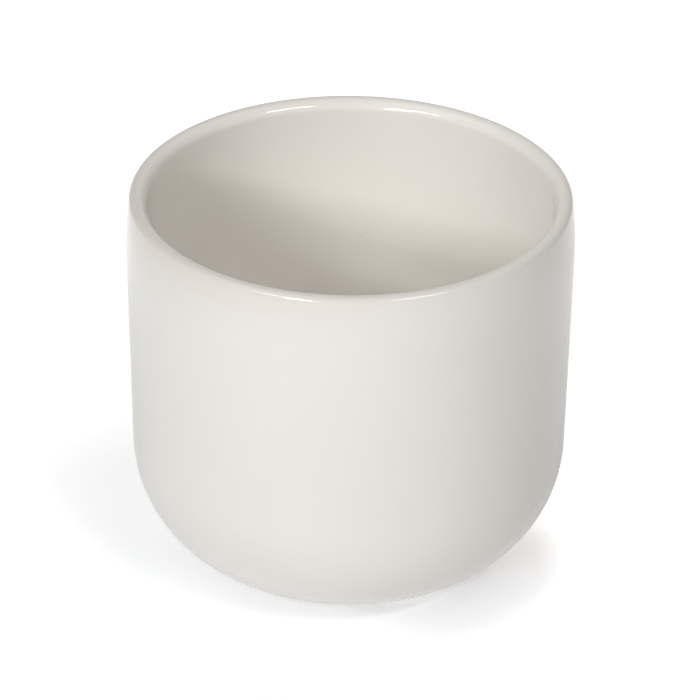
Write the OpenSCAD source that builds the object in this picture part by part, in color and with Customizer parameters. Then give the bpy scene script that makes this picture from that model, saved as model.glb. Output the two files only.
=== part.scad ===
// Porcelain crucible of about 100 ml: a straight-sided cup with a round heel, glazed except on its foot.
// The origin is the centre of the foot, on the surface that the crucible stands on, and +Z is the cup's axis.

/* [Outside] */
// Widest outside diameter, a little below the rim
rim_d = 60; // [50:0.5:80]
// Height from the foot to the crest of the rim
height = 54.5; // [46:0.5:80]
// Slope of the wall, in degrees from upright
draft = 1.7; // [0.5:0.1:4]
// Radius of the heel, where the wall turns into the bottom
heel_r = 18; // [10:0.5:21]

/* [Rim] */
// Radius of the slow inward curve of the wall below the rim
shoulder_r = 50; // [35:1:80]
// Distance from the crest of the rim down to the widest place
shoulder_drop = 7.1; // [4:0.1:10]
// Radius of the outer edge of the rim
lip_r = 0.85; // [0.5:0.05:1.2]

/* [Inside] */
// Thickness of the wall, with the glaze on both sides
wall_t = 3; // [2.6:0.1:5]
// Thickness of the floor of the cup, with the glaze inside, above the underside
floor_t = 3.6; // [2.5:0.1:6]
// Radius between the inside of the wall and the floor of the cup
bowl_r = 15; // [8:0.5:18]

/* [Foot] */
// Outside diameter of the bare foot ring
foot_d = 21; // [16:0.5:26]
// Width of the foot ring
foot_w = 3; // [2:0.1:5]
// Height of the foot ring below the glazed underside
foot_h = 0.5; // [0.3:0.1:1.5]
// Radius of the two lower edges of the foot ring
foot_edge_r = 0.25; // [0.1:0.05:0.3]

/* [Glaze] */
// Thickness of the coat of glaze
glaze_t = 0.25; // [0.1:0.05:0.4]

/* [Hidden] */

$fn = 180;

// Round stretches overlap their neighbours by this much, so that each pair crosses at one clean point
lap = 0.0005;
// Angle by which the shoulder's outline runs on, inside the wall, below the place where the two meet
shoulder_run = 1.5;
// Distance by which a clipping square passes the outline that it clips
clear = 1;

rim_r = rim_d / 2;
foot_r = foot_d / 2;
// Level inside the floor of the cup, up to which the foot's outlines run
mid_floor = foot_h + floor_t / 2;
wall_in = [-cos(draft), sin(draft)];
wall_up = [sin(draft), cos(draft)];

// The shoulder, the outer edge of the rim, and the upper end of the straight wall
shoulder_c = [rim_r - shoulder_r, height - shoulder_drop];
shoulder_turn = asin((shoulder_drop - lip_r) / (shoulder_r - lip_r));
function on_shoulder(radius, angle) = shoulder_c + radius * [cos(angle), sin(angle)];
lip_c = on_shoulder(shoulder_r - lip_r, shoulder_turn);
wall_top = on_shoulder(shoulder_r, -draft);

// The crest lies this deep behind the line of the wall, and the rim's inner edge takes the rest of wall_t
crest_depth = (wall_top.x - lip_c.x) * cos(draft) + (height - wall_top.y) * sin(draft);
bead_r = (wall_t - crest_depth) / (1 - sin(draft));
bead_c = [lip_c.x, height - bead_r];

// The heel outside and the bowl inside each touch a level line below them and the wall beside them
function corner_c(level, radius, depth) =
    [wall_top.x - (depth - (level + radius - wall_top.y) * sin(draft)) / cos(draft), level + radius];
bowl_level = foot_h + floor_t;
heel_c = corner_c(foot_h, heel_r, heel_r);
bowl_c = corner_c(bowl_level, bowl_r, wall_t + bowl_r);

module disc(centre, radius) {
    translate(centre) circle(radius);
}

// The part of an outline on the working side of the axis
module right_of_axis() {
    intersection() {
        children();
        square([rim_r + clear, height + clear]);
    }
}

// Filled outline of the outside, drawn in by inset, up to where the rim's inner edge starts
module outside(inset) {
    rim_level = bead_c.y + (bead_r - inset) * sin(draft);
    right_of_axis() {
        polygon([
            [0, foot_h + inset],
            [heel_c.x, foot_h + inset],
            heel_c - (heel_r - inset) * wall_in,
            wall_top + inset * wall_in,
            on_shoulder(shoulder_r - inset, shoulder_turn),
            lip_c,
            [bead_c.x, rim_level],
            [0, rim_level]
        ]);
        disc(heel_c, heel_r - inset + lap);
        intersection() {
            disc(shoulder_c, shoulder_r - inset + lap);
            polygon([
                lip_c,
                on_shoulder(shoulder_r - lip_r, -draft - shoulder_run),
                on_shoulder(shoulder_r + lip_r, -draft - shoulder_run),
                on_shoulder(shoulder_r + lip_r, shoulder_turn)
            ]);
        }
        disc(lip_c, lip_r - inset + 2 * lap);
    }
}

// Filled outline of the hollow inside, widened by inset
module hollow(inset) {
    wall_foot = bowl_c - (bowl_r + inset) * wall_in;
    wall_head = wall_foot + height * wall_up;
    right_of_axis() {
        polygon([
            [0, bowl_level - inset],
            [bowl_c.x, bowl_level - inset],
            wall_foot,
            wall_head,
            [0, wall_head.y]
        ]);
        disc(bowl_c, bowl_r + inset + lap);
    }
}

// Rounded inner edge of the rim, as far out as the crest
module bead(inset) {
    intersection() {
        disc(bead_c, bead_r - inset + lap);
        translate(bead_c - [2 * bead_r, bead_r]) square([2 * bead_r, 2 * bead_r + clear]);
    }
}

// Outline of the whole cup, drawn in by inset on every face
module cup(inset) {
    difference() {
        outside(inset);
        hollow(inset);
    }
    bead(inset);
}

// Outline of the foot ring, round on its two lower edges
module foot_ring() {
    translate([foot_r - foot_w, 0])
    intersection() {
        square([foot_w, mid_floor]);
        union() {
            translate([0, foot_edge_r]) square([foot_w, mid_floor]);
            translate([foot_edge_r, 0]) square([foot_w - 2 * foot_edge_r, mid_floor]);
            for (x = [foot_edge_r, foot_w - foot_edge_r]) disc([x, foot_edge_r], foot_edge_r + lap);
        }
    }
}

// The fired body, bare on its foot ring and inside that ring
module porcelain_body() {
    color("antiquewhite")
    rotate_extrude() {
        cup(glaze_t);
        foot_ring();
    }
}

// The glaze, one coat over the outside, the rim and the inside, which ends against the foot ring
module glaze_coat() {
    color("linen")
    rotate_extrude() difference() {
        cup(0);
        cup(glaze_t);
        square([foot_r, mid_floor]);
    }
}

porcelain_body();
glaze_coat();
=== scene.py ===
"""Looks of the porcelain crucible: the glaze as a smooth shell, the bare foot, and the studio round them.

Lengths are in metres, in the frame of the CAD model.
Its origin is the centre of the foot, and +Z is the cup's axis.
"""

import math

import bmesh
import bpy
from mathutils import Matrix, Vector


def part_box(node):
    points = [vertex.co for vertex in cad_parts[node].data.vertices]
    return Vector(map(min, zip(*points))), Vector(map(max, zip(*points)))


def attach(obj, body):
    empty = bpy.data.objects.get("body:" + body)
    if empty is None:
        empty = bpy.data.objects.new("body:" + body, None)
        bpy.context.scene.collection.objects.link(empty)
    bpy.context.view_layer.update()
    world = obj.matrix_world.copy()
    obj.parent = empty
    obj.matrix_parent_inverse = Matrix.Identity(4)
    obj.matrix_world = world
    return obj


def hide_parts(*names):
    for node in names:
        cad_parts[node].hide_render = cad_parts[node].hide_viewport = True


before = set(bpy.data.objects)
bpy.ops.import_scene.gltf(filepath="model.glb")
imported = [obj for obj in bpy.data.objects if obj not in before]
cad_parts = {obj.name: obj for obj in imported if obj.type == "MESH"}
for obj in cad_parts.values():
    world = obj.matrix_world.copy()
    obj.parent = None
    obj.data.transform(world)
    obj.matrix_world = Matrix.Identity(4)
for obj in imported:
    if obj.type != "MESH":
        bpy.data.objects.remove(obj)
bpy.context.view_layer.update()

MM = 0.001
QUARTER_TURN = math.pi / 2
AXIS_FOOT = (0, 0, 0)

# Outside of the cup, with its widest radius and its height taken from the frame
GLAZE_LOW, GLAZE_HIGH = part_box("glaze_coat")
RIM_R = min(GLAZE_HIGH.x, GLAZE_HIGH.y, -GLAZE_LOW.x, -GLAZE_LOW.y)
HEIGHT = GLAZE_HIGH.z
DRAFT = math.radians(1.7)
HEEL_R = 18 * MM
SHOULDER_R = 50 * MM
SHOULDER_DROP = 7.1 * MM
LIP_R = 0.85 * MM

# Inside of the cup, the foot and the glaze
WALL_T = 3 * MM
FLOOR_T = 3.6 * MM
BOWL_R = 15 * MM
FOOT_R = 10.5 * MM
FOOT_H = 0.5 * MM
GLAZE_T = 0.25 * MM

# Columns of faces round the axis
COLUMNS = 360
# Longest face along the outline, largest turn from face to face, and depth of a face inside its curve
FINE = {"longest": 2 * MM, "turn": math.radians(4), "sag": 0.002 * MM}
COARSE = {"longest": 6 * MM, "turn": math.radians(12), "sag": 0.02 * MM}
# Texture map of the glaze, and the share of its height that the visible side takes
MAP_NAME = "OFBake"
SEEN_SHARE = 0.96

# The photograph's frame, and the camera that took it
IMAGE_SIDE = 700
CENTRE_PIXEL = Vector((349.255, 373.226))
FOCAL_PIXELS = 7420.6
SENSOR_WIDTH = 36
CAMERA_DISTANCE = 1
CAMERA_ELEVATION = math.radians(28.988)
CAMERA_ROLL = math.radians(0.572)

# Tones as linear red, green and blue
# The outside's white is darker than the inside's: painted shade, one glaze as a lit and a shaded copy
INSIDE_WHITE = (0.90, 0.866, 0.812, 1)
OUTSIDE_PAINTED_SHADE_WHITE = (0.85, 0.82, 0.774, 1)
# Warm, darker tone of the rim: a thinner coat of glaze, and painted shade on the crest
RIM_THIN_GLAZE_AND_SHADE = (0.735, 0.668, 0.59, 1)
SPECK_BROWN = (0.42, 0.33, 0.25, 1)
BISQUE_PALE = (0.83, 0.80, 0.75, 1)
BISQUE_WARM = (0.77, 0.73, 0.67, 1)
SCUFF_GREY = (0.50, 0.48, 0.45, 1)
FLOOR_WHITE = (0.93, 0.94, 0.96, 1)
WHITE = (1, 1, 1, 1)

# Stretches of a noise's values that count as its full range
NOISE_NARROW = (0.35, 0.65)
NOISE_WIDE = (0.3, 0.7)

# Points of the outline on each side of the crest between which the two whites blend
CREST_BLEND = 6
# Clouds, specks, gloss and waviness of the glaze
CLOUD_SCALE = 55
CLOUD_DETAIL = 3
CLOUD_SHARE = 0.02
SPECK_SCALE = 140
SPECK_CORE = 0.01
SPECK_EDGE = 0.03
SPECK_SHARE = 0.2
GLOSS_SCALE = 320
GLOSS_ROUGHNESS = (0.07, 0.1)
WAVE_SCALE = 160
WAVE_DETAIL = 1
WAVE_DEPTH = 0.2 * MM
WAVE_STRENGTH = 0.1

# The rim's warm tint grows over this height below the crest, ever faster upwards: a thinner coat of glaze
# there, and painted shade
RIM_TINT_DROP = 12.5 * MM
RIM_TINT_POWER = 2.7
# The tint lies only outside the rim's inner edge, between these radii
INNER_EDGE_START = 28 * MM
INNER_EDGE_END = 29.3 * MM
# From left to right, between these places, the tint fades from one share of itself to the other: painted
# shade, heaviest on the left of the rim
RIM_TINT_LEFT = -22 * MM
RIM_TINT_RIGHT = 24 * MM
RIM_SHADE_LEFT_SHARE = 0.85
RIM_SHADE_RIGHT_SHARE = 0.1

# Patches, scuffs, dullness and grain of the bare porcelain
PATCH_SCALE = 240
PATCH_DETAIL = 4
SCUFF_RISE = 0.06 * MM
SCUFF_SCALE = 620
SCUFF_DETAIL = 5
SCUFF_NOISE = (0.52, 0.68)
SCUFF_SHARE = 0.45
DULL_SCALE = 900
DULL_ROUGHNESS = (0.78, 0.95)
GRAIN_SCALE = 4200
GRAIN_DETAIL = 3
GRAIN_DEPTH = 0.05 * MM
GRAIN_STRENGTH = 0.5

FLOOR_RADIUS = 0.6
# What the floor gains where it is seen, so that it is white
FLOOR_LIFT = 0.687
# Round places where it gains only a share of that: painted shadow round the cup, soft and even, over the
# floor's own shadow
SHADE_RIGHT = {"middle": (11.6 * MM, -4.5 * MM, 0), "start": 13.2 * MM, "end": 21.5 * MM, "share": 0.49}
SHADE_FRONT = {"middle": (0.7 * MM, -42.2 * MM, 0), "start": 12.5 * MM, "end": 60 * MM, "share": 0.45}
SHADE_LEFT = {"middle": (-19.5 * MM, 12.1 * MM, 0), "start": 9.6 * MM, "end": 44.5 * MM, "share": 0.54}
# A round place under the cup, a little towards the camera, where it gains more than round it: painted light
# that lightens the cup's shadow there, seen straight and in reflections
UNDER_HEEL_LIGHT = {"middle": (3.5 * MM, -4.75 * MM, 0), "start": 9 * MM, "end": 14.6 * MM}
UNDER_HEEL_LIGHT_SHARE = 2.8
UNDER_HEEL_MIRROR_LIGHT_SHARE = 1.7
# In reflections the floor near the cup gains only a share of it, and turns white farther out
MIRROR_START = 30 * MM
MIRROR_END = 122 * MM
MIRROR_SHARE = 0.32

# Faint light from every side of the room
AMBIENT = 0.03
LAMP_DISTANCE = 1.2
NEUTRAL = (1, 1, 1)


# The cup's outline as pairs of radius and height

def polar(centre, radius, angle):
    return centre + radius * Vector((math.cos(angle), math.sin(angle)))


def corner_centre(wall_top, level, radius, depth):
    """Centre of a round that touches a level line below it, and lies depth behind the wall's face."""
    rise = level + radius - wall_top.y
    return Vector((wall_top.x - (depth - rise * math.sin(DRAFT)) / math.cos(DRAFT), level + radius))


SHOULDER_C = Vector((RIM_R - SHOULDER_R, HEIGHT - SHOULDER_DROP))
SHOULDER_TURN = math.asin((SHOULDER_DROP - LIP_R) / (SHOULDER_R - LIP_R))
LIP_C = polar(SHOULDER_C, SHOULDER_R - LIP_R, SHOULDER_TURN)
WALL_TOP = polar(SHOULDER_C, SHOULDER_R, -DRAFT)
CREST_DEPTH = (WALL_TOP.x - LIP_C.x) * math.cos(DRAFT) + (HEIGHT - WALL_TOP.y) * math.sin(DRAFT)
BEAD_R = (WALL_T - CREST_DEPTH) / (1 - math.sin(DRAFT))
BEAD_C = Vector((LIP_C.x, HEIGHT - BEAD_R))
BOWL_LEVEL = FOOT_H + FLOOR_T
HEEL_C = corner_centre(WALL_TOP, FOOT_H, HEEL_R, HEEL_R)
BOWL_C = corner_centre(WALL_TOP, BOWL_LEVEL, BOWL_R, WALL_T + BOWL_R)


def arc(centre, radius, start, end, detail):
    """Points on an arc from one angle to another, both ends included."""
    turn = min(detail["turn"], 2 * math.acos(1 - detail["sag"] / radius))
    steps = math.ceil(abs(end - start) / turn)
    return [polar(centre, radius, start + (end - start) * i / steps) for i in range(steps + 1)]


def with_stretches(points, detail):
    """The same outline with its long straight stretches divided evenly."""
    full = [points[0]]
    for last, point in zip(points, points[1:]):
        steps = max(1, math.ceil((point - last).length / detail["longest"]))
        full += [last.lerp(point, i / steps) for i in range(1, steps + 1)]
    return full


def cup_outline(inset, detail):
    """From the middle of the floor, up the inside, over the rim and down to the foot, drawn in by inset."""
    points = [Vector((0, BOWL_LEVEL - inset))]
    points += arc(BOWL_C, BOWL_R + inset, -QUARTER_TURN, -DRAFT, detail)
    points += arc(BEAD_C, BEAD_R - inset, math.pi - DRAFT, QUARTER_TURN, detail)
    points += arc(LIP_C, LIP_R - inset, QUARTER_TURN, SHOULDER_TURN, detail)[1:]
    points += arc(SHOULDER_C, SHOULDER_R - inset, SHOULDER_TURN, -DRAFT, detail)[1:]
    points += arc(HEEL_C, HEEL_R - inset, -DRAFT, -QUARTER_TURN, detail)
    points.append(Vector((FOOT_R, FOOT_H + inset)))
    return with_stretches(points, detail)


def along(points):
    """Distance of each point from the first, along the outline."""
    places = [0]
    for last, point in zip(points, points[1:]):
        places.append(places[-1] + (point - last).length)
    return places


# Pieces

def add_face(mesh, uv_layer, corners):
    """One smooth face from pairs of vertex and place on the texture map."""
    face = mesh.faces.new([vertex for vertex, place in corners])
    face.smooth = True
    for loop, (vertex, place) in zip(face.loops, corners):
        loop[uv_layer].uv = place


def revolve(name, outline, map_heights):
    """Closed surface of revolution about +Z, from an outline whose two ends lie on the axis."""
    mesh = bmesh.new()
    uv_layer = mesh.loops.layers.uv.new(MAP_NAME)
    angles = [2 * math.pi * k / COLUMNS for k in range(COLUMNS)]
    first = mesh.verts.new((0, 0, outline[0].y))
    last = mesh.verts.new((0, 0, outline[-1].y))
    rings = []
    for point in outline[1:-1]:
        ring = [(point.x * math.cos(a), point.x * math.sin(a), point.y) for a in angles]
        rings.append([mesh.verts.new(place) for place in ring])
    for k in range(COLUMNS):
        here, there = k / COLUMNS, (k + 1) / COLUMNS
        middle = (here + there) / 2
        n = (k + 1) % COLUMNS
        low, high = map_heights[1], map_heights[-2]
        add_face(mesh, uv_layer, [
            (first, (middle, map_heights[0])), (rings[0][k], (here, low)), (rings[0][n], (there, low))])
        add_face(mesh, uv_layer, [
            (last, (middle, map_heights[-1])), (rings[-1][n], (there, high)), (rings[-1][k], (here, high))])
        for i in range(len(rings) - 1):
            low, high = map_heights[i + 1], map_heights[i + 2]
            add_face(mesh, uv_layer, [
                (rings[i][k], (here, low)), (rings[i + 1][k], (here, high)),
                (rings[i + 1][n], (there, high)), (rings[i][n], (there, low))])
    bmesh.ops.recalc_face_normals(mesh, faces=mesh.faces)
    return link_mesh(name, mesh)


def link_mesh(name, mesh):
    data = bpy.data.meshes.new(name)
    mesh.to_mesh(data)
    mesh.free()
    made = bpy.data.objects.new(name, data)
    bpy.context.scene.collection.objects.link(made)
    return made


def glaze_shell():
    """The coat of glaze: its visible side, and the side that lies on the fired body."""
    seen = cup_outline(0, FINE)
    hidden = cup_outline(GLAZE_T, COARSE)[::-1]
    seen_places, hidden_places = along(seen), along(hidden)
    heights = [SEEN_SHARE * place / seen_places[-1] for place in seen_places]
    heights += [1 - (1 - SEEN_SHARE) * (1 - place / hidden_places[-1]) for place in hidden_places]
    shell = revolve("glaze_shell", seen + hidden, heights)
    crest = max(range(len(seen)), key=lambda i: seen[i].y)
    shell.data.materials.append(glaze_material(heights[crest - CREST_BLEND], heights[crest + CREST_BLEND]))
    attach(shell, "root")
    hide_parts("glaze_coat")


def fired_body():
    """The CAD body shows on the foot, and gets the look of bare porcelain."""
    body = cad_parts["porcelain_body"]
    body.data.materials.clear()
    body.data.materials.append(bisque_material())


def studio_floor():
    mesh = bmesh.new()
    bmesh.ops.create_circle(mesh, cap_ends=True, segments=COLUMNS, radius=FLOOR_RADIUS)
    floor = link_mesh("studio_floor", mesh)
    floor.data.materials.append(floor_material())


# Materials

class Shader:
    """A node tree of a material or a world, with short ways to add and join its nodes."""

    def __init__(self, tree):
        self.tree = tree
        self.tree.nodes.clear()

    def add(self, kind, inputs=None, **settings):
        made = self.tree.nodes.new(kind)
        for name, value in settings.items():
            setattr(made, name, value)
        for name, value in (inputs or {}).items():
            if isinstance(value, bpy.types.NodeSocket):
                self.tree.links.new(value, made.inputs[name])
            else:
                made.inputs[name].default_value = value
        return made

    def noise(self, place, scale, detail=2):
        made = self.add("ShaderNodeTexNoise", {"Vector": place, "Scale": scale, "Detail": detail})
        return made.outputs["Fac"]

    def between(self, value, start, end, low=0, high=1, easing="SMOOTHSTEP"):
        """A value's stretch from start to end, mapped to run from low to high."""
        made = self.add(
            "ShaderNodeMapRange",
            {"Value": value, "From Min": start, "From Max": end, "To Min": low, "To Max": high},
            interpolation_type=easing)
        return made.outputs["Result"]

    def math(self, operation, first, second, third=0):
        made = self.add("ShaderNodeMath", {0: first, 1: second, 2: third}, operation=operation)
        return made.outputs[0]

    def mix(self, share, first, second):
        """One colour where share is 0 and the other where it is 1."""
        # The node's colours go in at sockets 6 and 7 and come out at socket 2
        made = self.add("ShaderNodeMix", {0: share, 6: first, 7: second}, data_type="RGBA")
        return made.outputs[2]

    def bump(self, height, depth, strength):
        made = self.add("ShaderNodeBump", {"Height": height, "Distance": depth, "Strength": strength})
        return made.outputs["Normal"]

    def place(self):
        return self.add("ShaderNodeTexCoord").outputs["Object"]

    def coordinate(self, place, axis):
        return self.add("ShaderNodeSeparateXYZ", {0: place}).outputs[axis]

    def map_height(self):
        """Height on the texture map, which follows the outline."""
        on_map = self.add("ShaderNodeUVMap", uv_map=MAP_NAME).outputs[0]
        return self.coordinate(on_map, "Y")

    def distance(self, place, other):
        made = self.add("ShaderNodeVectorMath", {0: place, 1: other}, operation="DISTANCE")
        return made.outputs["Value"]

    def radius(self, place):
        """Distance from the cup's axis."""
        flat = self.add("ShaderNodeVectorMath", {0: place, 1: (1, 1, 0)}, operation="MULTIPLY")
        return self.distance(flat.outputs["Vector"], AXIS_FOOT)

    def round_place(self, place, middle, start, end, share):
        """A share up to start from the middle, which eases to 1 at end."""
        return self.between(self.distance(place, middle), start, end, share, 1)

    def surface(self, colour, roughness, normal):
        """The look of the whole material, from its colour, roughness and bumps."""
        inputs = {"Base Color": colour, "Roughness": roughness, "Normal": normal}
        made = self.add("ShaderNodeBsdfPrincipled", inputs)
        self.add("ShaderNodeOutputMaterial", {"Surface": made.outputs[0]})


def new_material(name):
    material = bpy.data.materials.new(name)
    material.use_nodes = True
    return material, Shader(material.node_tree)


def glaze_material(inside_end, outside_start):
    """Glossy warm white, the outside a darker white as painted shade, with faint clouds, a few specks, and
    on the rim a warm, thin coat with painted shade.
    """
    material, shader = new_material("clear_white_glaze")
    place = shader.place()
    # The outside takes the darker white: painted shade
    outside = shader.between(shader.map_height(), inside_end, outside_start)
    colour = shader.mix(outside, INSIDE_WHITE, OUTSIDE_PAINTED_SHADE_WHITE)
    clouds = shader.between(shader.noise(place, CLOUD_SCALE, CLOUD_DETAIL), *NOISE_NARROW, 0, CLOUD_SHARE)
    colour = shader.mix(clouds, colour, SPECK_BROWN)
    # The rim's warm tint: thinner glaze, and painted shade on the crest, most on the left
    colour = shader.mix(rim_thin_glaze_and_shade(shader, place), colour, RIM_THIN_GLAZE_AND_SHADE)
    cells = shader.add("ShaderNodeTexVoronoi", {"Vector": place, "Scale": SPECK_SCALE})
    specks = shader.between(cells.outputs["Distance"], SPECK_CORE, SPECK_EDGE, SPECK_SHARE, 0)
    colour = shader.mix(specks, colour, SPECK_BROWN)
    gloss = shader.between(shader.noise(place, GLOSS_SCALE), *NOISE_WIDE, *GLOSS_ROUGHNESS)
    skin = shader.bump(shader.noise(place, WAVE_SCALE, WAVE_DETAIL), WAVE_DEPTH, WAVE_STRENGTH)
    shader.surface(colour, gloss, skin)
    return material


def rim_thin_glaze_and_shade(shader, place):
    """How strongly the rim's outside takes the warm tint: thinner glaze, and painted shade, mostly on its
    left.
    """
    level = shader.coordinate(place, "Z")
    rise = shader.between(level, HEIGHT - RIM_TINT_DROP, HEIGHT, easing="LINEAR")
    outer = shader.between(shader.radius(place), INNER_EDGE_START, INNER_EDGE_END)
    thin_glaze_and_shade = shader.math("MULTIPLY", outer, shader.math("POWER", rise, RIM_TINT_POWER))
    across = shader.coordinate(place, "X")
    # Painted shade: the tint is heavier on the left of the rim
    painted_shade_across = shader.between(across, RIM_TINT_LEFT, RIM_TINT_RIGHT, RIM_SHADE_LEFT_SHARE, RIM_SHADE_RIGHT_SHARE)
    return shader.math("MULTIPLY", thin_glaze_and_shade, painted_shade_across)


def bisque_material():
    """Bare fired porcelain: matt and finely grained, with grey scuffs where the foot stands."""
    material, shader = new_material("bare_porcelain")
    place = shader.place()
    patches = shader.between(shader.noise(place, PATCH_SCALE, PATCH_DETAIL), *NOISE_NARROW)
    colour = shader.mix(patches, BISQUE_PALE, BISQUE_WARM)
    standing = shader.between(shader.coordinate(place, "Z"), SCUFF_RISE, 0)
    scuffs = shader.between(shader.noise(place, SCUFF_SCALE, SCUFF_DETAIL), *SCUFF_NOISE, 0, SCUFF_SHARE)
    colour = shader.mix(shader.math("MULTIPLY", standing, scuffs), colour, SCUFF_GREY)
    dullness = shader.between(shader.noise(place, DULL_SCALE), *NOISE_WIDE, *DULL_ROUGHNESS)
    grain = shader.bump(shader.noise(place, GRAIN_SCALE, GRAIN_DETAIL), GRAIN_DEPTH, GRAIN_STRENGTH)
    shader.surface(colour, dullness, grain)
    return material


def seen_rays(shader):
    """1 for rays straight to the eye, and 1 for rays that reach it by a reflection or through glass."""
    rays = shader.add("ShaderNodeLightPath").outputs
    return rays["Is Camera Ray"], shader.math("ADD", rays["Is Glossy Ray"], rays["Is Transmission Ray"])


def floor_material():
    """Matt white that keeps the cup's shadow, lifted to white where it is seen, with painted shadow round
    the cup and painted light under its heel.
    """
    material, shader = new_material("white_floor")
    matt = shader.add("ShaderNodeBsdfDiffuse", {"Color": FLOOR_WHITE})
    place = shader.place()
    straight, mirrored = seen_rays(shader)
    # Painted shadow: less lift in three round places round the cup
    for shade in (SHADE_RIGHT, SHADE_FRONT, SHADE_LEFT):
        straight = shader.math("MULTIPLY", straight, shader.round_place(place, **shade))
    # Painted light under the heel, seen straight
    under = shader.round_place(place, **UNDER_HEEL_LIGHT, share=UNDER_HEEL_LIGHT_SHARE)
    straight = shader.math("MULTIPLY", straight, under)
    far = shader.round_place(place, AXIS_FOOT, MIRROR_START, MIRROR_END, MIRROR_SHARE)
    # Painted light under the heel, in reflections
    near = shader.round_place(place, **UNDER_HEEL_LIGHT, share=UNDER_HEEL_MIRROR_LIGHT_SHARE)
    mirrored = shader.math("MULTIPLY", mirrored, shader.math("MULTIPLY", far, near))
    both_ways = shader.math("ADD", straight, mirrored)
    lift = shader.math("MULTIPLY", both_ways, FLOOR_LIFT)
    glow = shader.add("ShaderNodeEmission", {"Color": WHITE, "Strength": lift})
    both = shader.add("ShaderNodeAddShader", {0: matt.outputs[0], 1: glow.outputs[0]})
    shader.add("ShaderNodeOutputMaterial", {"Surface": both.outputs[0]})
    material.cycles.emission_sampling = "NONE"
    return material


# Studio

def studio_world():
    """White where it is seen, and a faint even light on everything else."""
    world = bpy.data.worlds.new("studio_world")
    world.use_nodes = True
    shader = Shader(world.node_tree)
    seen = shader.math("ADD", *seen_rays(shader))
    strength = shader.math("MULTIPLY_ADD", seen, 1 - AMBIENT, AMBIENT)
    sky = shader.add("ShaderNodeBackground", {"Color": WHITE, "Strength": strength})
    shader.add("ShaderNodeOutputWorld", {"Surface": sky.outputs[0]})
    bpy.context.scene.world = world


def soft_box(name, azimuth, elevation, size, power, colour=NEUTRAL, mirrored=True):
    """A rectangular lamp that faces the cup. Azimuth 0 is the camera's side, and it grows to the right."""
    turn, rise = math.radians(azimuth), math.radians(elevation)
    outward = Vector((math.sin(turn) * math.cos(rise), -math.cos(turn) * math.cos(rise), math.sin(rise)))
    data = bpy.data.lights.new(name, "AREA")
    data.shape = "RECTANGLE"
    data.size, data.size_y = size
    data.energy = power
    data.color = colour
    lamp = bpy.data.objects.new(name, data)
    lamp.matrix_world = (
        Matrix.Translation(Vector((0, 0, HEIGHT / 2)) + LAMP_DISTANCE * outward)
        @ outward.to_track_quat("Z", "Y").to_matrix().to_4x4())
    lamp.visible_camera = False
    lamp.visible_glossy = mirrored
    bpy.context.scene.collection.objects.link(lamp)


def studio_lamps():
    """Two lamps on the left that make the shadow inside the cup, and three that fill it."""
    soft_box("key_lamp", azimuth=-25, elevation=20, size=(0.25, 0.15), power=4.1, colour=(0.985, 0.99, 1))
    soft_box("side_lamp", azimuth=-37, elevation=31, size=(0.55, 0.12), power=4.15, colour=(0.97, 1, 0.99))
    soft_box("fill_lamp", azimuth=38, elevation=42, size=(0.5, 0.14), power=3.95, colour=(1, 0.98, 0.98))
    soft_box(
        "back_lamp", azimuth=150, elevation=38, size=(1.0, 0.5), power=2.6, colour=(1, 0.92, 0.84),
        mirrored=False)
    soft_box("top_lamp", azimuth=-80, elevation=62, size=(0.8, 0.8), power=1.9)


def camera():
    """The photograph's view: its elevation, roll and focal length, and where the cup's middle lies in it."""
    middle = Vector((0, 0, HEIGHT / 2))
    back = Vector((0, -math.cos(CAMERA_ELEVATION), math.sin(CAMERA_ELEVATION)))
    level_right = Vector((1, 0, 0))
    level_up = back.cross(level_right)
    right = math.cos(CAMERA_ROLL) * level_right + math.sin(CAMERA_ROLL) * level_up
    up = math.cos(CAMERA_ROLL) * level_up - math.sin(CAMERA_ROLL) * level_right
    place = middle + CAMERA_DISTANCE * back
    offset = (CENTRE_PIXEL - Vector((IMAGE_SIDE, IMAGE_SIDE)) / 2) * CAMERA_DISTANCE / FOCAL_PIXELS
    aim = middle - offset.x * right + offset.y * up
    axis_z = (place - aim).normalized()
    axis_x = up.cross(axis_z).normalized()
    data = bpy.data.cameras.new("camera")
    data.sensor_width = SENSOR_WIDTH
    data.lens = FOCAL_PIXELS / IMAGE_SIDE * SENSOR_WIDTH
    made = bpy.data.objects.new("camera", data)
    turned = Matrix((axis_x, axis_z.cross(axis_x), axis_z)).transposed().to_4x4()
    made.matrix_world = Matrix.Translation(place) @ turned
    bpy.context.scene.collection.objects.link(made)
    bpy.context.scene.camera = made


camera()
glaze_shell()
fired_body()
studio_floor()
studio_world()
studio_lamps()
bpy.context.scene.view_settings.view_transform = "Standard"
